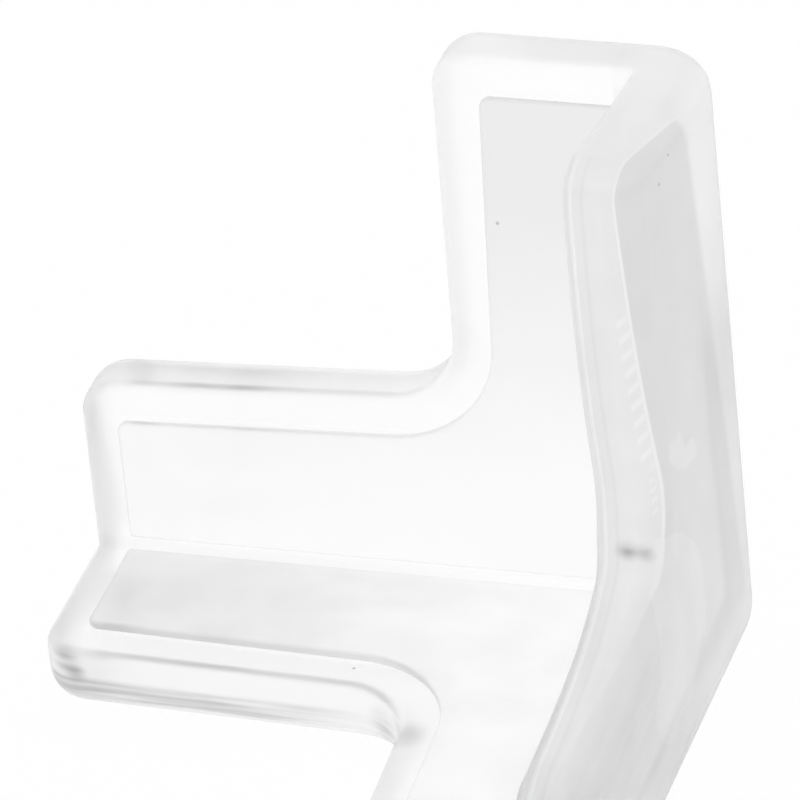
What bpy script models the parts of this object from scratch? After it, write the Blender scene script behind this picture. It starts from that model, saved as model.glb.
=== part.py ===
"""Clear corner protector for furniture.

Three L-shaped walls of clear soft plastic are moulded as one piece. They meet at right angles
at one outer corner, and each pair of walls forms one arm: the left arm, the front arm and the
up arm. The furniture's corner goes into the hollow between the walls. A thin clear adhesive pad
lies on the inner face of each wall.

Depths are measured inwards from the three outer faces: x from the side wall's outer face,
y from the back wall's, z from the base wall's. The side wall is a little bent: the free edge
of its up arm leans inwards and that of its front arm leans outwards.
"""

import math

import bmesh
import bpy
from mathutils import Vector

# Driving sizes of the moulding, in metres, and the taper as narrowing for each metre of arm
ARM = 0.0552
WIDTH = 0.023
WALL = 0.006
ARM_TAPER = 0.045
BACK_UP_TAPER = 0.015
NOTCH_ROUND = 0.0055
END_ROUND = 0.0032
CORNER_ROUND = 0.005
OUTER_ROUND = 0.003
INNER_ROUND = 0.0009

# The bend of the side wall: how far the free edges of its up arm and front arm lean at most, how far
# along an arm that takes, the depth at which the bend starts and how it eases in from there
UP_LEAN = 0.0018
FRONT_LEAN = 0.0030
LEAN_REACH = 0.018
LEAN_START = 0.007
LEAN_EASE = 1.3
LEAN_STEP = 0.004

# Driving sizes of the adhesive pads
PAD_THICKNESS = 0.0005
PAD_SEAT_GAP = 0.0003
PAD_INSET = 0.0033
PAD_FOLD_GAP = 0.0013
PAD_NOTCH_ROUND = 0.0095
PAD_END_ROUND = 0.0010

# How finely round stretches are divided
CORNER_SEGMENTS = 7
OUTER_SEGMENTS = 5
INNER_SEGMENTS = 3
NOTCH_SEGMENTS = 7
END_SEGMENTS = 5
PAD_NOTCH_SEGMENTS = 10

# The two clear materials, in plain values
PLASTIC_COLOUR = (0.93, 0.94, 0.94)
PLASTIC_ROUGHNESS = 0.06
ADHESIVE_COLOUR = (0.88, 0.89, 0.89)
ADHESIVE_ROUGHNESS = 0.15
CLEARNESS = 0.9

# How near counts as equal, and what counts as flat or as a sharp edge
TINY = 1e-6
CUT_TOLERANCE = 2e-5
FLAT_ANGLE = math.radians(0.5)
SHARP_ANGLE = math.radians(35)

# What a face of the walls belongs to, and the pads in the order of their walls' axes
OUTER, SIDE, INNER = range(3)
PADS = ("side_pad", "back_pad", "base_pad")


def clear_scene():
    for thing in list(bpy.data.objects):
        bpy.data.objects.remove(thing)


def from_depths(depths):
    """Turns depths from the three outer faces into a point about the outer corner."""
    return Vector((-depths[0], -depths[1], depths[2]))


def to_depths(point):
    return (-point[0], -point[1], point[2])


def clear_material(name, colour, roughness):
    material = bpy.data.materials.new(name)
    material.use_nodes = True
    shader = material.node_tree.nodes["Principled BSDF"]
    shader.inputs["Base Color"].default_value = (*colour, 1.0)
    shader.inputs["Roughness"].default_value = roughness
    shader.inputs["Transmission Weight"].default_value = CLEARNESS
    return material


def make_object(name, bm, material, corner):
    mesh = bpy.data.meshes.new(name)
    bm.to_mesh(mesh)
    bm.free()
    mesh.materials.append(material)
    mesh.shade_smooth()
    mesh.set_sharp_from_angle(angle=SHARP_ANGLE)
    thing = bpy.data.objects.new(name, mesh)
    bpy.context.scene.collection.objects.link(thing)
    thing.parent = corner
    return thing


# The moulding


def taper(across, along):
    """Narrowing of an arm in one wall: the back wall's part of the up arm keeps more of its width."""
    return BACK_UP_TAPER if (across, along) == (0, 2) else ARM_TAPER


def grid_point(cell):
    """Depths of one corner of the three by three by three cells that the walls fill."""
    steps = (0.0, WALL, WIDTH, ARM)
    depths = [steps[index] for index in cell]
    if 3 in cell:
        for axis in range(3):
            if cell[axis] == 2:
                depths[axis] -= taper(axis, cell.index(3)) * (ARM - WIDTH)
    return depths


def is_filled(cell):
    """A cell is plastic where it lies in a wall and not in that wall's notch."""
    inside = min(cell) >= 0 and max(cell) <= 2
    return inside and 0 in cell and sorted(cell)[1:] != [2, 2]


def add_cell_faces(bm, vertex_at, cell):
    """Adds the faces of one cell that no other cell covers, and marks what each belongs to."""
    for axis in range(3):
        for ahead in (0, 1):
            neighbour = list(cell)
            neighbour[axis] += 1 if ahead else -1
            if is_filled(neighbour):
                continue
            ring = []
            for step_a, step_b in ((0, 0), (1, 0), (1, 1), (0, 1)):
                corner = list(cell)
                corner[axis] += ahead
                corner[(axis + 1) % 3] += step_a
                corner[(axis + 2) % 3] += step_b
                ring.append(vertex_at(tuple(corner)))
            if not ahead:
                ring.reverse()
            face = bm.faces.new(ring)
            if not ahead:
                face.material_index = OUTER
            else:
                face.material_index = INNER if cell[axis] == 0 else SIDE


def sharp_walls():
    """The three walls with all their edges sharp, as one closed mesh."""
    bm = bmesh.new()
    made = {}

    def vertex_at(corner):
        if corner not in made:
            made[corner] = bm.verts.new(from_depths(grid_point(corner)))
        return made[corner]

    for i in range(3):
        for j in range(3):
            for k in range(3):
                if is_filled((i, j, k)):
                    add_cell_faces(bm, vertex_at, (i, j, k))
    bm.normal_update()
    bmesh.ops.dissolve_limit(
        bm, angle_limit=FLAT_ANGLE, verts=bm.verts, edges=bm.edges, delimit={"MATERIAL"}
    )
    return bm


def crosses_wall(edge):
    """True for an edge that runs straight through a wall, at its notch or at an arm's end."""
    a, b = (to_depths(vertex.co) for vertex in edge.verts)
    for axis in range(3):
        spans = abs(abs(a[axis] - b[axis]) - WALL) < TINY and min(a[axis], b[axis]) < TINY
        if spans and min(a[k] for k in range(3) if k != axis) > WALL + TINY:
            return True
    return False


def at_notch(edge):
    depths = to_depths(edge.verts[0].co)
    return sum(abs(depth - WIDTH) < TINY for depth in depths) == 2


def on_outer_corner(edge):
    """True for the three long edges where two outer faces meet."""
    return all(sum(abs(depth) < TINY for depth in vertex.co) >= 2 for vertex in edge.verts)


def edges_between(bm, kind_a, kind_b):
    kinds = {kind_a, kind_b}
    return [edge for edge in bm.edges if {face.material_index for face in edge.link_faces} == kinds]


def round_edges(bm, edges, radius, segments):
    bmesh.ops.bevel(
        bm,
        geom=edges,
        offset=radius,
        offset_type="OFFSET",
        segments=segments,
        profile=0.5,
        affect="EDGES",
        clamp_overlap=False,
        material=-1,
    )


def round_the_walls(bm):
    through = [edge for edge in bm.edges if crosses_wall(edge)]
    round_edges(bm, [edge for edge in through if not at_notch(edge)], END_ROUND, END_SEGMENTS)
    notches = [edge for edge in bm.edges if crosses_wall(edge) and at_notch(edge)]
    round_edges(bm, notches, NOTCH_ROUND, NOTCH_SEGMENTS)
    corners = [edge for edge in bm.edges if on_outer_corner(edge)]
    round_edges(bm, corners, CORNER_ROUND, CORNER_SEGMENTS)
    round_edges(bm, edges_between(bm, OUTER, SIDE), OUTER_ROUND, OUTER_SEGMENTS)
    round_edges(bm, edges_between(bm, SIDE, INNER), INNER_ROUND, INNER_SEGMENTS)
    for face in bm.faces:
        face.material_index = 0


# The bend of the side wall


def ease_in(depth):
    share = (depth - LEAN_START) / (WIDTH - LEAN_START)
    return min(max(share, 0.0), 1.0) ** LEAN_EASE


def lean(depths):
    """How far the side wall is pushed inwards there: inwards on the up arm, outwards on the front arm."""
    ahead, above = depths[1], depths[2]
    travel = UP_LEAN if above > ahead else FRONT_LEAN
    return travel * ease_in(ahead) * ease_in(above) * math.tanh((above - ahead) / LEAN_REACH)


def in_bend(face):
    """True where a face lies wholly in the side wall and reaches into its bent region."""
    depths = [to_depths(vertex.co) for vertex in face.verts]
    in_wall = all(x < WALL + PAD_SEAT_GAP + PAD_THICKNESS + TINY for x, _, _ in depths)
    ahead = max(y for _, y, _ in depths)
    above = max(z for _, _, z in depths)
    return in_wall and min(ahead, above) > LEAN_START


def bend_side_wall(bm):
    """Cuts the side wall's faces into a grid, and moves its vertices sideways."""
    steps = math.ceil((ARM - LEAN_START) / LEAN_STEP)
    for axis in (1, 2):
        for step in range(steps):
            cut = [0.0, 0.0, 0.0]
            cut[axis] = LEAN_START + step * LEAN_STEP
            normal = [0.0, 0.0, 0.0]
            normal[axis] = 1.0
            faces = [face for face in bm.faces if in_bend(face)]
            edges = {edge for face in faces for edge in face.edges}
            vertices = {vertex for face in faces for vertex in face.verts}
            bmesh.ops.bisect_plane(
                bm,
                geom=[*vertices, *edges, *faces],
                dist=CUT_TOLERANCE,
                plane_co=from_depths(cut),
                plane_no=normal,
            )
    for vertex in bm.verts:
        x, y, z = to_depths(vertex.co)
        vertex.co = from_depths((x + lean((x, y, z)), y, z))


# The adhesive pads


def pad_outline():
    """The corners of a pad, as depths along its wall's two axes, each with its rounding."""
    near = WALL + PAD_FOLD_GAP
    far = ARM - PAD_INSET
    free = WIDTH - PAD_INSET
    tip = free - ARM_TAPER * (far - WIDTH)
    return [
        ((near, near), 0.0),
        ((far, near), 0.0),
        ((far, tip), PAD_END_ROUND),
        ((free, free), PAD_NOTCH_ROUND),
        ((tip, far), PAD_END_ROUND),
        ((near, far), 0.0),
    ]


def rounded(outline):
    """Puts an arc of the given radius at each corner of a closed outline."""
    points = []
    for index, (corner, radius) in enumerate(outline):
        here = Vector(corner)
        if radius == 0.0:
            points.append(here)
            continue
        before = (Vector(outline[index - 1][0]) - here).normalized()
        after = (Vector(outline[(index + 1) % len(outline)][0]) - here).normalized()
        half = before.angle(after) / 2
        reach = radius / math.tan(half)
        centre = here + (before + after).normalized() * radius / math.sin(half)
        start = here + before * reach - centre
        end = here + after * reach - centre
        segments = PAD_NOTCH_SEGMENTS if radius == PAD_NOTCH_ROUND else END_SEGMENTS
        for step in range(segments + 1):
            spoke = start.slerp(end, step / segments).normalized() * radius
            points.append(centre + spoke)
    return points


def pad_solid(axis):
    """A flat pad on the inner face of the wall whose depth is measured along the axis."""
    bm = bmesh.new()
    first, second = (axis + 1) % 3, (axis + 2) % 3
    ring = []
    for along_first, along_second in rounded(pad_outline()):
        depths = [0.0, 0.0, 0.0]
        depths[axis] = WALL + PAD_SEAT_GAP
        depths[first] = along_first
        depths[second] = along_second
        ring.append(bm.verts.new(from_depths(depths)))
    ring.reverse()
    base = bm.faces.new(ring)
    lifted = bmesh.ops.extrude_face_region(bm, geom=[base])
    rise = [0.0, 0.0, 0.0]
    rise[axis] = PAD_THICKNESS
    top = [item for item in lifted["geom"] if isinstance(item, bmesh.types.BMVert)]
    bmesh.ops.translate(bm, vec=from_depths(rise), verts=top)
    bmesh.ops.recalc_face_normals(bm, faces=bm.faces)
    return bm


def main():
    clear_scene()
    corner = bpy.data.objects.new("outer_corner", None)
    bpy.context.scene.collection.objects.link(corner)
    plastic = clear_material("clear_soft_plastic", PLASTIC_COLOUR, PLASTIC_ROUGHNESS)
    adhesive = clear_material("clear_adhesive", ADHESIVE_COLOUR, ADHESIVE_ROUGHNESS)

    walls = sharp_walls()
    round_the_walls(walls)
    bend_side_wall(walls)
    body = make_object("corner_body", walls, plastic, corner)

    for axis, name in enumerate(PADS):
        pad = pad_solid(axis)
        bend_side_wall(pad)
        make_object(name, pad, adhesive, corner)

    # The corner stands so that the body's box is centred over the origin, with the base at height zero.
    points = [vertex.co for vertex in body.data.vertices]
    middle = [(min(p[k] for p in points) + max(p[k] for p in points)) / 2 for k in range(2)]
    corner.location = (-middle[0], -middle[1], -min(p[2] for p in points))


main()
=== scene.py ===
"""Looks of the clear corner protector: its fine moulding, its adhesive pads, studio and camera.

Every size is in metres. The moulding and the pads repeat the solids of the frame with finer
rounding. Depths are measured inwards from the three outer faces, as on the solids: x from the
side wall's outer face, y from the back wall's, z from the base wall's.
"""

import math

import bmesh
import bpy
from mathutils import Matrix, Vector


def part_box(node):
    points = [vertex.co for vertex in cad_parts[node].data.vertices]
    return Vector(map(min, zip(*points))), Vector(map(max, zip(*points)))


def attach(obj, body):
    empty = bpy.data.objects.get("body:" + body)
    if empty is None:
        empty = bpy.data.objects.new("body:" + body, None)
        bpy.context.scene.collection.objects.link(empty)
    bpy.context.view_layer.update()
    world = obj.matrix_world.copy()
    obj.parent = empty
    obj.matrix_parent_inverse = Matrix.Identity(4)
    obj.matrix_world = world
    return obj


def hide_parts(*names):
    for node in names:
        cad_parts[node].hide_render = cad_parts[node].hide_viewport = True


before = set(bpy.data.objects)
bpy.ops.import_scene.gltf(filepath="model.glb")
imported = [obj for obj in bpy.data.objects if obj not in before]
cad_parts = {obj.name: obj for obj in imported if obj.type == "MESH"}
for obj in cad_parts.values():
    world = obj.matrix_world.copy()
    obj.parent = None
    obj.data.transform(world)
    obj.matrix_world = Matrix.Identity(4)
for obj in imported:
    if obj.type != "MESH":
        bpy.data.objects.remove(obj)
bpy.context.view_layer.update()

# The moulding: what its solid in the frame gives, then its walls, tapers and roundings
body_low, body_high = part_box("corner_body")
ARM = body_high.z - body_low.z
OUTER_CORNER = Vector((body_low.x + ARM, body_high.y, body_low.z))
WIDTH = 0.023
WALL = 0.006
ARM_TAPER = 0.045
BACK_UP_TAPER = 0.015
NOTCH_ROUND = 0.0055
END_ROUND = 0.0032
CORNER_ROUND = 0.005
OUTER_ROUND = 0.003
INNER_ROUND = 0.0009

# The bend of the side wall
UP_LEAN = 0.0018
FRONT_LEAN = 0.0030
LEAN_REACH = 0.018
LEAN_START = 0.007
LEAN_EASE = 1.3
LEAN_STEP = 0.002

# The adhesive pads
PAD_THICKNESS = 0.0005
PAD_SEAT_GAP = 0.0003
PAD_INSET = 0.0033
PAD_FOLD_GAP = 0.0013
PAD_NOTCH_ROUND = 0.0095
PAD_END_ROUND = 0.0010
PAD_EDGE_ROUND = 0.00038
PAD_BOND_DEPTH = 0.00005

# How finely round stretches are divided
CORNER_SEGMENTS = 16
OUTER_SEGMENTS = 12
INNER_SEGMENTS = 6
NOTCH_SEGMENTS = 20
END_SEGMENTS = 12
PAD_SEGMENTS = 24
PAD_EDGE_SEGMENTS = 4

# Tolerances, angles and the kinds of face
TINY = 1e-6
CUT_TOLERANCE = 20 * TINY
FLAT_ANGLE = math.radians(0.5)
RIM_ANGLE = math.radians(60)
FLAT_FACE_WEIGHT = 100
OUTER, SIDE, INNER = range(3)
PADS = ("side_pad", "back_pad", "base_pad")

# Directions among the depths: x grows to the left, y to the front and z upwards
LEFTWARDS = (1.0, 0.0, 0.0)
RIGHTWARDS = (-1.0, 0.0, 0.0)
FORWARDS = (0.0, 1.0, 0.0)
UPWARDS = (0.0, 0.0, 1.0)
DOWNWARDS = (0.0, 0.0, -1.0)
FRONT_AND_DOWN = (0.0, 0.7, -0.7)
OFF_FOLD = (0.0, 0.7071, 0.7071)
TO_FOLD = (0.0, -0.7071, -0.7071)
MARKS_SLANT = (0.9, 0.0, 1.0)

# Tones: how much of the light each passes, against its surroundings; some are painted shade or
# painted highlight, as marked
CLOUD_TONE = 0.992
# Painted shade on the side wall, as it faces weaker light, deepest below its top
SIDE_WALL_SHADE_TONE = 0.95
LOWER_SIDE_WALL_SHADE_TONE = 0.905
# Painted shade where the plastic is seen at a slant: partly its longer path, partly the shade its
# edges show
SLANT_SHADE_TONE = 0.6
SLANT_POWER = 6.0
# Painted shade on the side wall's panel, over the side film, and a share of it on the front arm
PANEL_SHADE_TONE = 0.80
FRONT_PANEL_SHARE = 0.72
# Painted highlight along the panel's edge
PANEL_HIGHLIGHT_TONE = 1.2
# Painted shade on the front arm beside the panel
FRONT_ARM_SHADE_TONE = 0.9
AIR_MARK_TONE = 1.14
ELBOW_TONE = 1.1
LEAF_TONE = 1.12
MOTTLE_SHARE = 25.0
SPECK_TONE = 0.3
# Painted shade: the dark streak low on the base wall
STREAK_TONE = 0.45
FLOW_TONE = 0.88
# Painted shade in the fold between the back wall and the base wall
FOLD_SHADE_TONE = 0.92

# Surface and body of the plastic and the films
CLEAR_ROUGHNESS = (0.02, 0.05)
HAZE_ROUGHNESS = 0.36
FILM_ROUGHNESS = (0.29, 0.34)
PLASTIC_IOR = 1.5
FILM_IOR = 1.3
PLASTIC_DENSITY = 0.5
WAVE_STRENGTH = 0.2
WAVE_HEIGHT = 0.001
EDGE_HAZE_WIDTH = 0.0031
HAZE_EDGE = 0.00008

# Soft noise: its settings, and how the places are stretched for the streaky kinds
NOISE_SPREAD = (0.2, 0.8)
PLASTIC_CLOUDS = {"Scale": 70.0, "Detail": 1.0, "Low": 0.0, "High": 1.0}
FILM_CLOUDS = {"Scale": 170.0, "Detail": 2.0}
RIPPLES = {"Scale": 130.0, "Detail": 0.0, "Low": 0.0, "High": 0.3}
WOBBLE = {"Scale": 260.0, "Detail": 1.0, "Low": -0.0009, "High": 0.0009}
STREAKY_BREAKUP = {"Scale": 1.0, "Detail": 1.0, "Low": 0.2, "High": 1.2}
NOISE_STRETCH_FOR_STREAKS = (90.0, 200.0, 1600.0)
FLOW = {"Scale": 1.0, "Detail": 1.0, "Low": 0.0, "High": 1.0}
FLOW_STRETCH = (700.0, 60.0, 500.0)

# The panel on the side wall's outer face: the depth it starts from, and its rim's tilted plane
PANEL_DEPTH = 0.0004
PANEL_EDGE = 0.00015
PANEL_TILT = (-1.0, 0.105, 0.045)
PANEL_RIM = 0.00286
PANEL_SLOPE = (0.0, 0.994, -0.109)

# Fades over the depths: direction, where each starts, and how much further on it is full
IN_HAZE = (RIGHTWARDS, -0.0075, HAZE_EDGE)
BELOW_TOP = (DOWNWARDS, -0.0540, 0.001)
IN_SIDE_WALL = (RIGHTWARDS, -0.0075, 0.0015)
NEAR_OUTER_FACE = (RIGHTWARDS, -0.0016, 0.0006)
ON_PANEL_FACE = (RIGHTWARDS, -PANEL_DEPTH, PANEL_EDGE)
ON_PANEL_ROUNDING = (PANEL_TILT, PANEL_RIM, PANEL_EDGE)
ABOVE_PANEL_FOOT = (UPWARDS, 0.0055, 0.003)
OFF_PANEL_FOLD = (PANEL_SLOPE, 0.0044, 0.0012)
PANEL_LINE_ROUNDING = (LEFTWARDS, PANEL_DEPTH, 0.0001)
PANEL_LINE_FOOT = (UPWARDS, 0.0225, 0.002)
PANEL_LINE_START = (FORWARDS, 0.0105, 0.002)
ON_FRONT_ARM = (FRONT_AND_DOWN, 0.0, 0.012)
FRONT_GREY_START = (FORWARDS, 0.012, 0.012)
AIR_MARKS_START = (FORWARDS, 0.017, 0.002)
STREAK_EDGE = (FORWARDS, 0.0200, 0.0008)
STREAK_LEFT = (LEFTWARDS, 0.0240, 0.0120)
LIP_START = (FORWARDS, 0.0185, 0.001)
FLOW_START = (FORWARDS, 0.027, 0.008)
FOLD_NEAR = (TO_FOLD, -0.00942, 0.0008)
FOLD_INNER = (OFF_FOLD, 0.0083, 0.0001)
FOLD_LEFT = (LEFTWARDS, 0.016, 0.02)

# Lines over the depths: direction, depth and width. A lip line has its tone too.
# The panel line is a painted highlight along the panel's edge
PANEL_LINE = (PANEL_TILT, PANEL_RIM, 0.00012)
# The streak is painted shade low on the base wall
STREAK = (UPWARDS, 0.0024, 0.0014)
# The lip lines: the first a painted highlight along the free edge, the other two painted shade
LIP_HIGHLIGHT_AND_SHADE_LINES = [
    ((LEFTWARDS, 0.0051, 0.00013), 1.16),
    ((LEFTWARDS, 0.0056, 0.0003), 0.84),
    ((LEFTWARDS, 0.0042, 0.0002), 0.93),
]

# The columns of air marks: width, pitch, and the heights they start and end at
AIR_MARKS = [(0.0005, 0.00155, 0.0285, 0.043), (0.00022, 0.0008, 0.0246, 0.0286)]
AIR_MARK_OFFSET = 0.0005
AIR_MARK_FADE = 0.0010
AIR_MARK_WAVE = (-0.1, 0.8)

# The patches where a film has wetted the side wall
ELBOW = {"Centre": (0.0, 0.0255, 0.0155), "Radius": 0.0084, "Edge": 0.0003}
LEAF = {"Centre": (0.0, 0.0, 0.0), "Radius": 0.001, "Edge": 0.00025}
LEAF_PLACE = (0.0, 0.0176, 0.0278)
LEAF_TURN = (math.radians(32.0), 0.0, 0.0)
LEAF_STRETCH = (1.0, 4.0, 1.7)

# Spots of painted shade in the notches and at an arm's end: place, radius and tone. Specks: place.
SHADE_SPOTS = [
    ((0.0034, 0.0258, 0.0236), 0.0014, 0.3),
    ((0.0020, 0.0258, 0.0235), 0.0012, 0.5),
    ((0.0529, 0.0215, 0.0050), 0.0019, 0.3),
    ((0.0520, 0.0217, 0.0040), 0.0014, 0.4),
    ((0.0219, 0.0287, 0.0060), 0.0025, 0.15),
    ((0.0253, 0.0239, 0.0030), 0.0024, 0.3),
]
SPECKS = [
    (0.0, 0.0144, 0.0529),
    (0.0, 0.0167, 0.0516),
    (0.0179, 0.006, 0.0402),
    (0.0287, 0.0203, 0.006),
]
SPECK_RADIUS = 0.00018

# The films: name, the tones their clouds run between, the rim's tone, and the fades of painted
# shade
# on the free face, each with its tone: darker towards the back film's top and the base film's left
FILMS = {
    "side_pad": ("side_adhesive_film", (0.95, 0.98), 0.9, []),
    "back_pad": (
        "back_adhesive_film", (0.965, 0.99), 0.85, [((UPWARDS, 0.010, 0.036), 0.745)]
    ),
    "base_pad": (
        "base_adhesive_film", (0.87, 1.0), 0.7, [((LEFTWARDS, 0.020, 0.022), 0.81)]
    ),
}
FILM_RIM_FACING = (0.3, 0.95)

# The camera: where its axis passes the object, its direction and how far away it stands
CAMERA_AIM = Vector((0.00479, 0.00548, 0.03326))
CAMERA_AZIMUTH = math.radians(19.73)
CAMERA_ELEVATION = math.radians(32.02)
CAMERA_ROLL = math.radians(-5.81)
CAMERA_DISTANCE = 0.7774
CAMERA_LENS = 447.4
SENSOR_WIDTH = 36.0

# The studio: its grey sides have a direction and the strength there
GREY_SIDES = [((1.0, 0.0, 0.0), 0.72), ((0.0, 1.0, 0.0), 0.94)]
GREY_START = 0.2
GREY_END = 0.95
FLOOR_SIZE = 3.0
FLOOR_GAP = 0.0002
PAPER_COLOUR = (0.98, 0.98, 0.98, 1.0)
PAPER_ROUGHNESS = 0.9
PAPER_GLOW = 0.95
PAPER_LEVEL = 1.0
BOUNCES = 56
DIFFUSE_BOUNCES = 8

# Kinds of node sockets
NUMBER = "NodeSocketFloat"
VECTOR = "NodeSocketVector"


# Node helpers


def new_material(name):
    material = bpy.data.materials.new(name)
    material.use_nodes = True
    return material, material.node_tree, material.node_tree.nodes["Principled BSDF"]


def add_node(tree, kind, **settings):
    node = tree.nodes.new(kind)
    for key, value in settings.items():
        setattr(node, key, value)
    return node


def feed(tree, socket, value):
    """Links a socket to another's output, or sets it to a plain value."""
    if isinstance(value, bpy.types.NodeSocket):
        tree.links.new(value, socket)
    else:
        socket.default_value = value


def maths(tree, operation, *values):
    node = add_node(tree, "ShaderNodeMath", operation=operation)
    for socket, value in zip(node.inputs, values):
        feed(tree, socket, value)
    return node.outputs["Value"]


def vector_maths(tree, operation, first, second):
    node = add_node(tree, "ShaderNodeVectorMath", operation=operation)
    feed(tree, node.inputs[0], first)
    feed(tree, node.inputs[1], second)
    return node.outputs


def soft_step(tree, value, start, end, low=0.0, high=1.0):
    node = add_node(tree, "ShaderNodeMapRange", interpolation_type="SMOOTHSTEP")
    feed(tree, node.inputs["Value"], value)
    feed(tree, node.inputs["From Min"], start)
    feed(tree, node.inputs["From Max"], end)
    feed(tree, node.inputs["To Min"], low)
    feed(tree, node.inputs["To Max"], high)
    return node.outputs["Result"]


def mapped(tree, place, kind="POINT", **settings):
    """The place moved, turned and stretched."""
    node = add_node(tree, "ShaderNodeMapping", vector_type=kind)
    tree.links.new(place, node.inputs["Vector"])
    for label, value in settings.items():
        node.inputs[label].default_value = value
    return node.outputs["Vector"]


def distance_along(tree, place, towards):
    return vector_maths(tree, "DOT_PRODUCT", place, towards)["Value"]


def shade(tree, amount, factor):
    """One where there is nothing of the amount, the factor where there is all of it."""
    return maths(tree, "MULTIPLY_ADD", amount, factor - 1.0, 1.0)


def product(tree, *values):
    result = values[0]
    for value in values[1:]:
        result = maths(tree, "MULTIPLY", result, value)
    return result


# The node groups


def new_group(name, inputs, output):
    """An empty shader node group with named sockets."""
    tree = bpy.data.node_groups.new(name, "ShaderNodeTree")
    for label, kind in inputs.items():
        tree.interface.new_socket(name=label, in_out="INPUT", socket_type=kind)
    tree.interface.new_socket(name=output, in_out="OUTPUT", socket_type=NUMBER)
    start = add_node(tree, "NodeGroupInput")
    end = add_node(tree, "NodeGroupOutput")
    return tree, start.outputs, end.inputs[output]


def build_fade():
    """Nothing to full along a direction."""
    tree, given, result = new_group(
        "fade", {"Place": VECTOR, "Towards": VECTOR, "Start": NUMBER, "Width": NUMBER}, "Amount"
    )
    along = distance_along(tree, given["Place"], given["Towards"])
    end = maths(tree, "ADD", given["Start"], given["Width"])
    tree.links.new(soft_step(tree, along, given["Start"], end), result)


def build_spot():
    """Full within a radius, with a soft edge inside it."""
    tree, given, result = new_group(
        "spot", {"Place": VECTOR, "Centre": VECTOR, "Radius": NUMBER, "Edge": NUMBER}, "Amount"
    )
    apart = vector_maths(tree, "DISTANCE", given["Place"], given["Centre"])["Value"]
    inner = maths(tree, "SUBTRACT", given["Radius"], given["Edge"])
    tree.links.new(soft_step(tree, apart, inner, given["Radius"], 1.0, 0.0), result)


def build_line():
    """Full at one depth along a direction, and soft on both sides."""
    tree, given, result = new_group(
        "line", {"Place": VECTOR, "Towards": VECTOR, "Depth": NUMBER, "Width": NUMBER}, "Amount"
    )
    along = distance_along(tree, given["Place"], given["Towards"])
    off = maths(tree, "ABSOLUTE", maths(tree, "SUBTRACT", along, given["Depth"]))
    core = maths(tree, "MULTIPLY", given["Width"], 0.5)
    tree.links.new(soft_step(tree, off, core, given["Width"], 1.0, 0.0), result)


def build_variation():
    """Soft noise between two values."""
    sockets = {"Place": VECTOR, "Scale": NUMBER, "Detail": NUMBER, "Low": NUMBER, "High": NUMBER}
    tree, given, result = new_group("variation", sockets, "Value")
    noise = add_node(tree, "ShaderNodeTexNoise")
    tree.links.new(given["Place"], noise.inputs["Vector"])
    tree.links.new(given["Scale"], noise.inputs["Scale"])
    tree.links.new(given["Detail"], noise.inputs["Detail"])
    spread = soft_step(tree, noise.outputs["Fac"], *NOISE_SPREAD, given["Low"], given["High"])
    tree.links.new(spread, result)


def use_group(tree, name, place, **values):
    node = add_node(tree, "ShaderNodeGroup", node_tree=bpy.data.node_groups[name])
    feed(tree, node.inputs["Place"], place)
    for label, value in values.items():
        feed(tree, node.inputs[label], value)
    return node.outputs[0]


def fade(tree, place, rule):
    towards, start, width = rule
    return use_group(tree, "fade", place, Towards=towards, Start=start, Width=width)


def line(tree, place, rule):
    towards, depth, width = rule
    return use_group(tree, "line", place, Towards=towards, Depth=depth, Width=width)


def spot(tree, place, centre, radius, edge):
    return use_group(tree, "spot", place, Centre=centre, Radius=radius, Edge=edge)


# The moulding's shape


def from_depths(depths):
    return Vector((-depths[0], -depths[1], depths[2]))


def to_depths(point):
    return (-point[0], -point[1], point[2])


def taper(across, along):
    """Narrowing of an arm in one wall. The back wall's part of the up arm narrows less."""
    return BACK_UP_TAPER if (across, along) == (0, 2) else ARM_TAPER


def grid_point(cell):
    steps = (0.0, WALL, WIDTH, ARM)
    depths = [steps[index] for index in cell]
    if 3 in cell:
        for axis in range(3):
            if cell[axis] == 2:
                depths[axis] -= taper(axis, cell.index(3)) * (ARM - WIDTH)
    return depths


def is_filled(cell):
    inside = min(cell) >= 0 and max(cell) <= 2
    return inside and 0 in cell and sorted(cell)[1:] != [2, 2]


def add_cell_faces(bm, vertex_at, cell):
    for axis in range(3):
        for ahead in (0, 1):
            neighbour = list(cell)
            neighbour[axis] += 1 if ahead else -1
            if is_filled(neighbour):
                continue
            ring = []
            for step_a, step_b in ((0, 0), (1, 0), (1, 1), (0, 1)):
                corner = list(cell)
                corner[axis] += ahead
                corner[(axis + 1) % 3] += step_a
                corner[(axis + 2) % 3] += step_b
                ring.append(vertex_at(tuple(corner)))
            if not ahead:
                ring.reverse()
            face = bm.faces.new(ring)
            if not ahead:
                face.material_index = OUTER
            else:
                face.material_index = INNER if cell[axis] == 0 else SIDE


def sharp_walls():
    bm = bmesh.new()
    made = {}

    def vertex_at(corner):
        if corner not in made:
            made[corner] = bm.verts.new(from_depths(grid_point(corner)))
        return made[corner]

    for i in range(3):
        for j in range(3):
            for k in range(3):
                if is_filled((i, j, k)):
                    add_cell_faces(bm, vertex_at, (i, j, k))
    bm.normal_update()
    bmesh.ops.dissolve_limit(
        bm, angle_limit=FLAT_ANGLE, verts=bm.verts, edges=bm.edges, delimit={"MATERIAL"}
    )
    return bm


def crosses_wall(edge):
    a, b = (to_depths(vertex.co) for vertex in edge.verts)
    for axis in range(3):
        spans = abs(abs(a[axis] - b[axis]) - WALL) < TINY and min(a[axis], b[axis]) < TINY
        if spans and min(a[k] for k in range(3) if k != axis) > WALL + TINY:
            return True
    return False


def at_notch(edge):
    depths = to_depths(edge.verts[0].co)
    return sum(abs(depth - WIDTH) < TINY for depth in depths) == 2


def on_outer_corner(edge):
    return all(sum(abs(depth) < TINY for depth in vertex.co) >= 2 for vertex in edge.verts)


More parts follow.
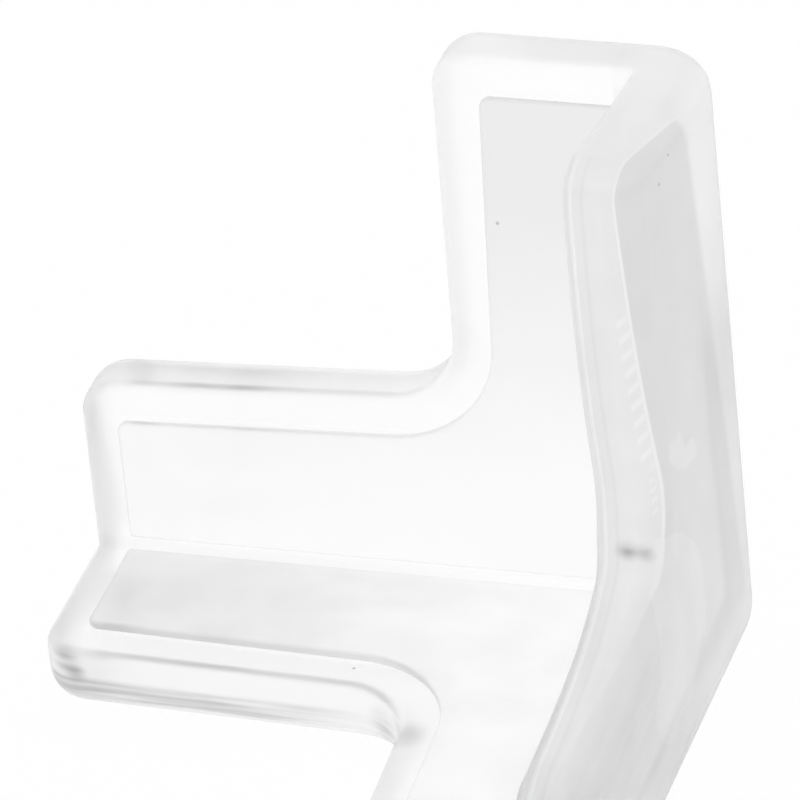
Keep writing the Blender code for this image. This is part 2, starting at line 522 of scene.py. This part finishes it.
def edges_between(bm, kind_a, kind_b):
    kinds = {kind_a, kind_b}
    return [
        edge for edge in bm.edges
        if {face.material_index for face in edge.link_faces} == kinds
    ]


def round_edges(bm, edges, radius, segments):
    bmesh.ops.bevel(
        bm,
        geom=edges,
        offset=radius,
        offset_type="OFFSET",
        segments=segments,
        profile=0.5,
        affect="EDGES",
        clamp_overlap=False,
        material=-1,
    )


def round_the_walls(bm):
    through = [edge for edge in bm.edges if crosses_wall(edge)]
    round_edges(bm, [edge for edge in through if not at_notch(edge)], END_ROUND, END_SEGMENTS)
    notches = [edge for edge in bm.edges if crosses_wall(edge) and at_notch(edge)]
    round_edges(bm, notches, NOTCH_ROUND, NOTCH_SEGMENTS)
    corners = [edge for edge in bm.edges if on_outer_corner(edge)]
    round_edges(bm, corners, CORNER_ROUND, CORNER_SEGMENTS)
    round_edges(bm, edges_between(bm, OUTER, SIDE), OUTER_ROUND, OUTER_SEGMENTS)
    round_edges(bm, edges_between(bm, SIDE, INNER), INNER_ROUND, INNER_SEGMENTS)
    for face in bm.faces:
        face.material_index = 0


def ease_in(depth):
    share = (depth - LEAN_START) / (WIDTH - LEAN_START)
    return min(max(share, 0.0), 1.0) ** LEAN_EASE


def lean(depths):
    ahead, above = depths[1], depths[2]
    travel = UP_LEAN if above > ahead else FRONT_LEAN
    return travel * ease_in(ahead) * ease_in(above) * math.tanh((above - ahead) / LEAN_REACH)


def in_bend(face):
    depths = [to_depths(vertex.co) for vertex in face.verts]
    in_wall = all(x < WALL + PAD_SEAT_GAP + PAD_THICKNESS + TINY for x, _, _ in depths)
    forward = max(y for _, y, _ in depths) > LEAN_START
    up = max(z for _, _, z in depths) > LEAN_START
    return in_wall and forward and up


def bend_side_wall(bm):
    """Cuts the wall into strips that bend, keeps each place as it was before, and bends it."""
    steps = math.ceil((ARM - LEAN_START) / LEAN_STEP)
    for axis in (1, 2):
        for step in range(steps):
            cut = [0.0, 0.0, 0.0]
            cut[axis] = LEAN_START + step * LEAN_STEP
            normal = [0.0, 0.0, 0.0]
            normal[axis] = 1.0
            faces = [face for face in bm.faces if in_bend(face)]
            edges = {edge for face in faces for edge in face.edges}
            vertices = {vertex for face in faces for vertex in face.verts}
            bmesh.ops.bisect_plane(
                bm,
                geom=[*vertices, *edges, *faces],
                dist=CUT_TOLERANCE,
                plane_co=from_depths(cut),
                plane_no=normal,
            )
    unbent = bm.verts.layers.float_vector.new("depths")
    for vertex in bm.verts:
        x, y, z = to_depths(vertex.co)
        vertex[unbent] = (x, y, z)
        vertex.co = from_depths((x + lean((x, y, z)), y, z))


# The pads' shape


def pad_outline():
    """The corners of a pad, each with its rounding."""
    near = WALL + PAD_FOLD_GAP
    far = ARM - PAD_INSET
    free = WIDTH - PAD_INSET
    tip = free - ARM_TAPER * (far - WIDTH)
    return [
        ((near, near), 0.0),
        ((far, near), 0.0),
        ((far, tip), PAD_END_ROUND),
        ((free, free), PAD_NOTCH_ROUND),
        ((tip, far), PAD_END_ROUND),
        ((near, far), 0.0),
    ]


def rounded(outline):
    """The outline's points, with an arc at each rounded corner."""
    points = []
    for index, (corner, radius) in enumerate(outline):
        here = Vector(corner)
        if radius == 0.0:
            points.append(here)
            continue
        before = (Vector(outline[index - 1][0]) - here).normalized()
        after = (Vector(outline[(index + 1) % len(outline)][0]) - here).normalized()
        half = before.angle(after) / 2
        reach = radius / math.tan(half)
        centre = here + (before + after).normalized() * radius / math.sin(half)
        start = here + before * reach - centre
        end = here + after * reach - centre
        for step in range(PAD_SEGMENTS + 1):
            spoke = start.slerp(end, step / PAD_SEGMENTS).normalized() * radius
            points.append(centre + spoke)
    return points


def pad_solid(axis):
    bm = bmesh.new()
    first, second = (axis + 1) % 3, (axis + 2) % 3
    ring = []
    for along_first, along_second in rounded(pad_outline()):
        depths = [0.0, 0.0, 0.0]
        depths[axis] = WALL - PAD_BOND_DEPTH
        depths[first] = along_first
        depths[second] = along_second
        ring.append(bm.verts.new(from_depths(depths)))
    ring.reverse()
    base = bm.faces.new(ring)
    lifted = bmesh.ops.extrude_face_region(bm, geom=[base])
    rise = [0.0, 0.0, 0.0]
    rise[axis] = PAD_BOND_DEPTH + PAD_SEAT_GAP + PAD_THICKNESS
    top = [item for item in lifted["geom"] if isinstance(item, bmesh.types.BMVert)]
    bmesh.ops.translate(bm, vec=from_depths(rise), verts=top)
    bmesh.ops.recalc_face_normals(bm, faces=bm.faces)
    return bm


# Pieces


def make_piece(name, bm, material, node):
    mesh = bpy.data.meshes.new(name)
    bm.to_mesh(mesh)
    bm.free()
    mesh.transform(Matrix.Translation(OUTER_CORNER))
    mesh.materials.append(material)
    mesh.shade_smooth()
    thing = bpy.data.objects.new(name, mesh)
    bpy.context.scene.collection.objects.link(thing)
    modifier = thing.modifiers.new("flat_faces_stay_flat", "WEIGHTED_NORMAL")
    modifier.weight = FLAT_FACE_WEIGHT
    modifier.keep_sharp = True
    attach(thing, "root")
    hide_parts(node)
    return thing


def build_moulding(material):
    walls = sharp_walls()
    round_the_walls(walls)
    bend_side_wall(walls)
    return make_piece("clear_moulding", walls, material, "corner_body")


def build_pad(name, axis, material):
    pad = pad_solid(axis)
    rim = [edge for edge in pad.edges if edge.calc_face_angle(0.0) > RIM_ANGLE]
    round_edges(pad, rim, PAD_EDGE_ROUND, PAD_EDGE_SEGMENTS)
    bend_side_wall(pad)
    return make_piece(name.replace("pad", "adhesive"), pad, material, name)


# Materials. A place is the three depths in metres, as they were before the side wall was bent.


def depths_of(tree):
    return add_node(tree, "ShaderNodeAttribute", attribute_name="depths").outputs["Vector"]


def absorb(tree, density):
    """Grey that deepens with the length of plastic that light passes."""
    volume = add_node(tree, "ShaderNodeVolumeAbsorption")
    volume.inputs["Color"].default_value = (0.0, 0.0, 0.0, 1.0)
    volume.inputs["Density"].default_value = density
    tree.links.new(volume.outputs["Volume"], tree.nodes["Material Output"].inputs["Volume"])


def from_outside(tree, tone):
    """The tone for light that enters the plastic, and none for light that is already inside."""
    inside = add_node(tree, "ShaderNodeNewGeometry").outputs["Backfacing"]
    outside = maths(tree, "SUBTRACT", 1.0, inside)
    return maths(tree, "MULTIPLY_ADD", maths(tree, "SUBTRACT", tone, 1.0), outside, 1.0)


def make_clear(tree, shader, tones, roughness, ior):
    feed(tree, shader.inputs["Base Color"], from_outside(tree, product(tree, *tones)))
    feed(tree, shader.inputs["Roughness"], roughness)
    shader.inputs["IOR"].default_value = ior
    shader.inputs["Transmission Weight"].default_value = 1.0


def near_free_edge(tree, place):
    """All of it on the arms' free edges and ends, with their roundings, and none on flat walls."""
    parts = add_node(tree, "ShaderNodeSeparateXYZ")
    tree.links.new(place, parts.inputs["Vector"])
    x, y, z = parts.outputs
    along = maths(tree, "MAXIMUM", maths(tree, "MAXIMUM", x, y), z)
    through = maths(tree, "MINIMUM", maths(tree, "MINIMUM", x, y), z)
    total = maths(tree, "ADD", maths(tree, "ADD", x, y), z)
    across = maths(tree, "SUBTRACT", maths(tree, "SUBTRACT", total, along), through)
    straightened = maths(tree, "MULTIPLY_ADD", along, ARM_TAPER, across)
    edge = WIDTH + ARM_TAPER * WIDTH - EDGE_HAZE_WIDTH
    end = ARM - EDGE_HAZE_WIDTH
    at_side = soft_step(tree, straightened, edge, edge + HAZE_EDGE)
    at_end = soft_step(tree, along, end, end + HAZE_EDGE)
    return maths(tree, "MAXIMUM", at_side, at_end)


# Painted shade at a slant: grey where the plastic is seen edge-on, partly for its longer path and
# partly for the shade its edges show
def painted_shade_at_a_slant(tree):
    facing = add_node(tree, "ShaderNodeLayerWeight").outputs["Facing"]
    return shade(tree, maths(tree, "POWER", facing, SLANT_POWER), SLANT_SHADE_TONE)


def side_wall_shade_tones(tree, hazy, place):
    """Painted shade: the hazy side wall is darker, as it faces weaker light, and darkest below its
    top.
    """
    lower = maths(tree, "MULTIPLY", hazy, fade(tree, place, BELOW_TOP))
    return [shade(tree, hazy, SIDE_WALL_SHADE_TONE), shade(tree, lower, LOWER_SIDE_WALL_SHADE_TONE)]


def side_panel(tree, place):
    """Tones of the side wall's outer face: painted shade on its panel, over the side film, and on
    its front arm, and a painted highlight along the panel's edge line.
    """
    on_face = fade(tree, place, ON_PANEL_FACE)
    on_rounding = fade(tree, place, ON_PANEL_ROUNDING)
    panel = product(
        tree,
        maths(tree, "MAXIMUM", on_face, on_rounding),
        fade(tree, place, ABOVE_PANEL_FOOT),
        fade(tree, place, OFF_PANEL_FOLD),
    )
    # The panel's edge line: a painted highlight
    edge = product(
        tree,
        line(tree, place, PANEL_LINE),
        fade(tree, place, PANEL_LINE_ROUNDING),
        fade(tree, place, PANEL_LINE_FOOT),
        fade(tree, place, PANEL_LINE_START),
    )
    on_front_arm = fade(tree, place, ON_FRONT_ARM)
    front_arm_shade = product(
        tree,
        on_front_arm,
        fade(tree, place, IN_SIDE_WALL),
        maths(tree, "SUBTRACT", 1.0, panel),
        fade(tree, place, FRONT_GREY_START),
    )
    panel_share = shade(tree, on_front_arm, FRONT_PANEL_SHARE)
    return [
        shade(tree, maths(tree, "MULTIPLY", panel, panel_share), PANEL_SHADE_TONE),
        shade(tree, front_arm_shade, FRONT_ARM_SHADE_TONE),
        shade(tree, edge, PANEL_HIGHLIGHT_TONE),
    ]


def air_marks(tree, place):
    """Two columns of small slanting air marks beside the panel's edge line."""
    slanted = distance_along(tree, place, MARKS_SLANT)
    at_edge = fade(tree, place, AIR_MARKS_START)
    tones = []
    for width, pitch, bottom, top in AIR_MARKS:
        turns = maths(tree, "MULTIPLY", slanted, 2 * math.pi / pitch)
        column = product(
            tree,
            line(tree, place, (PANEL_TILT, PANEL_RIM - AIR_MARK_OFFSET, width)),
            fade(tree, place, (UPWARDS, bottom, AIR_MARK_FADE)),
            fade(tree, place, (DOWNWARDS, -top, AIR_MARK_FADE)),
            at_edge,
            soft_step(tree, maths(tree, "SINE", turns), *AIR_MARK_WAVE),
        )
        tones.append(shade(tree, column, AIR_MARK_TONE))
    return tones


def wet_out(tree, place, hazy):
    """Patches where the film has wetted the plastic: one round the elbow, one like a leaf above
    it. The same wobble that bends their outlines mottles the side wall."""
    wobble = use_group(tree, "variation", place, **WOBBLE)
    moved = vector_maths(tree, "ADD", place, wobble)["Vector"]
    near_face = fade(tree, place, NEAR_OUTER_FACE)
    elbow = use_group(tree, "spot", moved, **ELBOW)
    leaf_place = mapped(
        tree, moved, "TEXTURE", Location=LEAF_PLACE, Rotation=LEAF_TURN, Scale=LEAF_STRETCH
    )
    leaf = use_group(tree, "spot", leaf_place, **LEAF)
    mottle = maths(tree, "MULTIPLY", wobble, hazy)
    return [
        maths(tree, "MULTIPLY_ADD", mottle, MOTTLE_SHARE, 1.0),
        shade(tree, product(tree, elbow, near_face), ELBOW_TONE),
        shade(tree, product(tree, leaf, near_face), LEAF_TONE),
    ]


def shade_spots_and_specks(tree, place):
    """Painted shade: dark spots in the notches and at an arm's end and a dark streak low on the
    base wall, broken up by streaky noise; and specks."""
    uneven = use_group(tree, "variation", mapped(tree, place, Scale=NOISE_STRETCH_FOR_STREAKS), **STREAKY_BREAKUP)
    tones = []
    for centre, radius, tone in SHADE_SPOTS:
        shade_blot = spot(tree, place, centre, radius, radius)
        tones.append(shade(tree, product(tree, shade_blot, uneven), tone))
    streak = product(
        tree,
        line(tree, place, STREAK),
        fade(tree, place, STREAK_EDGE),
        fade(tree, place, STREAK_LEFT),
        uneven,
    )
    tones.append(shade(tree, streak, STREAK_TONE))
    for centre in SPECKS:
        speck = spot(tree, place, centre, SPECK_RADIUS, SPECK_RADIUS / 2)
        tones.append(shade(tree, speck, SPECK_TONE))
    return tones


def lip_lines(tree, place):
    """Fine lines along the side wall's free edge, one a painted highlight and two painted shade,
    and flow streaks on its front arm.
    """
    beyond = fade(tree, place, LIP_START)
    tones = [
        shade(tree, product(tree, line(tree, place, rule), beyond), tone)
        for rule, tone in LIP_HIGHLIGHT_AND_SHADE_LINES
    ]
    streaks = product(
        tree,
        use_group(tree, "variation", mapped(tree, place, Scale=FLOW_STRETCH), **FLOW),
        fade(tree, place, FLOW_START),
        fade(tree, place, IN_SIDE_WALL),
    )
    return [*tones, shade(tree, streaks, FLOW_TONE)]


def painted_fold_shade(tree, place):
    """Painted shade in the fold between the back wall and the base wall, matching the grey of the
    films along it.
    """
    rules = (FOLD_NEAR, FOLD_INNER, FOLD_LEFT)
    return shade(tree, product(tree, *(fade(tree, place, rule) for rule in rules)), FOLD_SHADE_TONE)


def ripple(tree, place):
    bump = add_node(tree, "ShaderNodeBump")
    bump.inputs["Strength"].default_value = WAVE_STRENGTH
    bump.inputs["Distance"].default_value = WAVE_HEIGHT
    feed(tree, bump.inputs["Height"], use_group(tree, "variation", place, **RIPPLES))
    return bump.outputs["Normal"]


def plastic_material():
    material, tree, shader = new_material("moulded_clear_plastic")
    place = depths_of(tree)
    cloud = use_group(tree, "variation", place, **PLASTIC_CLOUDS)
    hazy = fade(tree, place, IN_HAZE)
    tones = [
        soft_step(tree, cloud, 0.0, 1.0, CLOUD_TONE, 1.0),
        *side_wall_shade_tones(tree, hazy, place),
        painted_shade_at_a_slant(tree),
        painted_fold_shade(tree, place),
        *side_panel(tree, place),
        *air_marks(tree, place),
        *wet_out(tree, place, hazy),
        *shade_spots_and_specks(tree, place),
        *lip_lines(tree, place),
    ]
    clear = soft_step(tree, cloud, 0.0, 1.0, *CLEAR_ROUGHNESS)
    rough = maths(tree, "MAXIMUM", hazy, near_free_edge(tree, place))
    extra = maths(tree, "MULTIPLY", rough, HAZE_ROUGHNESS)
    make_clear(tree, shader, tones, maths(tree, "ADD", clear, extra), PLASTIC_IOR)
    feed(tree, shader.inputs["Normal"], ripple(tree, place))
    absorb(tree, PLASTIC_DENSITY)
    return material


def adhesive_material(axis, name, clouds, rim_tone, painted_face_shades):
    """A clear film with cloudy tone and darker rim. The fades paint shade on its free face."""
    material, tree, shader = new_material(name)
    place = depths_of(tree)
    low, high = clouds
    cloud = use_group(tree, "variation", place, Low=low, High=high, **FILM_CLOUDS)
    across = [float(k == axis) for k in range(3)]
    free_face = fade(tree, place, (across, WALL, PAD_SEAT_GAP))
    tones = [cloud]
    for rule, tone in painted_face_shades:
        amount = fade(tree, place, rule)
        tones.append(shade(tree, maths(tree, "MULTIPLY", amount, free_face), tone))
    normal = add_node(tree, "ShaderNodeTexCoord").outputs["Normal"]
    flat = maths(tree, "ABSOLUTE", distance_along(tree, normal, across))
    tones.append(soft_step(tree, flat, *FILM_RIM_FACING, rim_tone, 1.0))
    roughness = soft_step(tree, cloud, low, high, *FILM_ROUGHNESS)
    make_clear(tree, shader, tones, roughness, FILM_IOR)
    return material


# Studio


def studio_world():
    """White all round, with grey sides that shade the plastic's edges."""
    world = bpy.data.worlds.new("white_studio")
    bpy.context.scene.world = world
    world.use_nodes = True
    world.cycles.sampling_method = "NONE"
    tree = world.node_tree
    background = tree.nodes["Background"]
    background.inputs["Color"].default_value = (1.0, 1.0, 1.0, 1.0)
    towards = add_node(tree, "ShaderNodeTexCoord").outputs["Generated"]
    levels = []
    for side, level in GREY_SIDES:
        along = distance_along(tree, towards, side)
        levels.append(soft_step(tree, along, GREY_START, GREY_END, 1.0, level))
    feed(tree, background.inputs["Strength"], product(tree, *levels))


def paper_material():
    """White paper: for camera, mirror and clear rays nearly all of it glows white, and the rest of
    it is lit and takes the object's shadow."""
    material, tree, shader = new_material("white_paper")
    material.cycles.emission_sampling = "NONE"
    shader.inputs["Base Color"].default_value = PAPER_COLOUR
    shader.inputs["Roughness"].default_value = PAPER_ROUGHNESS
    shader.inputs["Specular IOR Level"].default_value = 0.0
    path = add_node(tree, "ShaderNodeLightPath").outputs
    seen = maths(tree, "ADD", path["Is Camera Ray"], path["Is Glossy Ray"])
    clear = maths(tree, "MINIMUM", maths(tree, "ADD", seen, path["Is Transmission Ray"]), 1.0)
    glow = add_node(tree, "ShaderNodeEmission")
    glow.inputs["Strength"].default_value = PAPER_LEVEL
    mix = add_node(tree, "ShaderNodeMixShader")
    feed(tree, mix.inputs["Fac"], maths(tree, "MULTIPLY", clear, PAPER_GLOW))
    tree.links.new(shader.outputs["BSDF"], mix.inputs[1])
    tree.links.new(glow.outputs["Emission"], mix.inputs[2])
    tree.links.new(mix.outputs["Shader"], tree.nodes["Material Output"].inputs["Surface"])
    return material


def studio_floor():
    bm = bmesh.new()
    bmesh.ops.create_grid(bm, x_segments=1, y_segments=1, size=FLOOR_SIZE)
    mesh = bpy.data.meshes.new("studio_floor")
    bm.to_mesh(mesh)
    bm.free()
    mesh.materials.append(paper_material())
    floor = bpy.data.objects.new("studio_floor", mesh)
    bpy.context.scene.collection.objects.link(floor)
    floor.location = (0.0, 0.0, body_low.z - FLOOR_GAP)


def studio_camera():
    data = bpy.data.cameras.new("photo_camera")
    data.lens = CAMERA_LENS
    data.sensor_width = SENSOR_WIDTH
    camera = bpy.data.objects.new("photo_camera", data)
    bpy.context.scene.collection.objects.link(camera)
    level = math.cos(CAMERA_ELEVATION)
    back = Vector((
        math.sin(CAMERA_AZIMUTH) * level,
        -math.cos(CAMERA_AZIMUTH) * level,
        math.sin(CAMERA_ELEVATION),
    ))
    level_right = Vector((0.0, 0.0, 1.0)).cross(back).normalized()
    level_up = back.cross(level_right)
    right = level_right * math.cos(CAMERA_ROLL) + level_up * math.sin(CAMERA_ROLL)
    up = back.cross(right)
    turn = Matrix((right, up, back)).transposed()
    camera.matrix_world = Matrix.Translation(CAMERA_AIM + back * CAMERA_DISTANCE) @ turn.to_4x4()
    bpy.context.scene.camera = camera


def light_paths():
    """Enough bounces for light to cross and follow the clear walls."""
    scene = bpy.context.scene
    scene.view_settings.view_transform = "Standard"
    scene.cycles.max_bounces = BOUNCES
    scene.cycles.transmission_bounces = BOUNCES
    scene.cycles.glossy_bounces = BOUNCES
    scene.cycles.diffuse_bounces = DIFFUSE_BOUNCES
    scene.cycles.blur_glossy = 0.0


def main():
    for build_group in (build_fade, build_spot, build_line, build_variation):
        build_group()
    build_moulding(plastic_material())
    for axis, name in enumerate(PADS):
        build_pad(name, axis, adhesive_material(axis, *FILMS[name]))
    studio_world()
    studio_floor()
    studio_camera()
    light_paths()


main()
